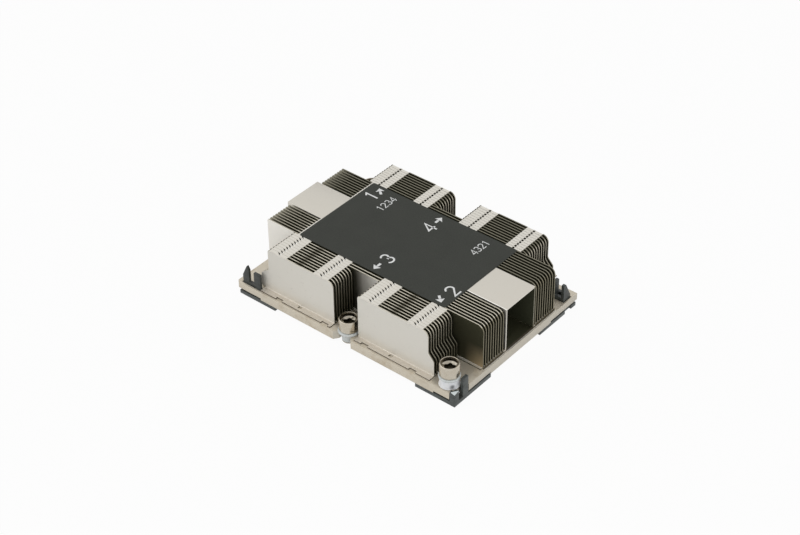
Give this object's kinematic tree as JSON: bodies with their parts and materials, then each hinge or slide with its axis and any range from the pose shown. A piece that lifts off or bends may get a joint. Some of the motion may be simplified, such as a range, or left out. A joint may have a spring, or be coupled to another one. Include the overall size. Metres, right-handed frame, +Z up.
{
  "type": "passive server processor heat sink",
  "caption": "Low passive heat sink: zipped sheet fins on both sides of a hollow duct, plated base plate, captive nuts in nylon bushes and a clip-on processor carrier.",
  "frame": {"origin": "middle of the base plate's outline, at the carrier's underside", "axes": "+X along the fins and the duct, towards the large corner radii; +Y across the fins; +Z up, away from the processor"},
  "size_m": [0.107, 0.079, 0.0245],
  "materials": {
    "plate": "nickel plated, satin",
    "fin": "nickel plated, satin",
    "label": "printed film, matt",
    "carrier": "moulded, fine grain",
    "bush": "nylon, slightly glossy",
    "nut": "nickel plated, turned"
  },
  "bodies": {
    "heat_sink": {"base_plate": "plate", "centre_duct": "fin", "top_label": "label", "processor_carrier": "carrier", "fin_front_01": "fin", "fin_front_02": "fin", "fin_front_03": "fin", "fin_front_04": "fin", "fin_front_05": "fin", "fin_front_06": "fin", "fin_front_07": "fin", "fin_front_08": "fin", "fin_front_09": "fin", "fin_front_10": "fin", "fin_front_11": "fin", "fin_front_12": "fin", "fin_front_13": "fin", "fin_front_14": "fin", "fin_front_15": "fin", "fin_front_16": "fin", "fin_front_17": "fin", "fin_front_18": "fin", "fin_front_19": "fin", "fin_rear_01": "fin", "fin_rear_02": "fin", "fin_rear_03": "fin", "fin_rear_04": "fin", "fin_rear_05": "fin", "fin_rear_06": "fin", "fin_rear_07": "fin", "fin_rear_08": "fin", "fin_rear_09": "fin", "fin_rear_10": "fin", "fin_rear_11": "fin", "fin_rear_12": "fin", "fin_rear_13": "fin", "fin_rear_14": "fin", "fin_rear_15": "fin", "fin_rear_16": "fin", "fin_rear_17": "fin", "fin_rear_18": "fin", "fin_rear_19": "fin", "bush_front_right": "bush", "bush_rear_left": "bush", "bush_front_middle": "bush", "bush_rear_middle": "bush"},
    "nut_front_right": {"nut_front_right": "nut"},
    "nut_rear_left": {"nut_rear_left": "nut"},
    "nut_front_middle": {"nut_front_middle": "nut"},
    "nut_rear_middle": {"nut_rear_middle": "nut"}
  },
  "joints": [
    {"name": "nut_front_right_turn", "type": "hinge", "parent": "heat_sink", "child": "nut_front_right", "pos_m": [0.0478, -0.0352, 0.006], "axis": [0, 0, 1], "continuous": true},
    {"name": "nut_rear_left_turn", "type": "hinge", "parent": "heat_sink", "child": "nut_rear_left", "pos_m": [-0.0478, 0.0352, 0.006], "axis": [0, 0, 1], "continuous": true},
    {"name": "nut_front_middle_turn", "type": "hinge", "parent": "heat_sink", "child": "nut_front_middle", "pos_m": [0.0009, -0.0352, 0.006], "axis": [0, 0, 1], "continuous": true},
    {"name": "nut_rear_middle_turn", "type": "hinge", "parent": "heat_sink", "child": "nut_rear_middle", "pos_m": [-0.0009, 0.0352, 0.006], "axis": [0, 0, 1], "continuous": true}
  ]
}
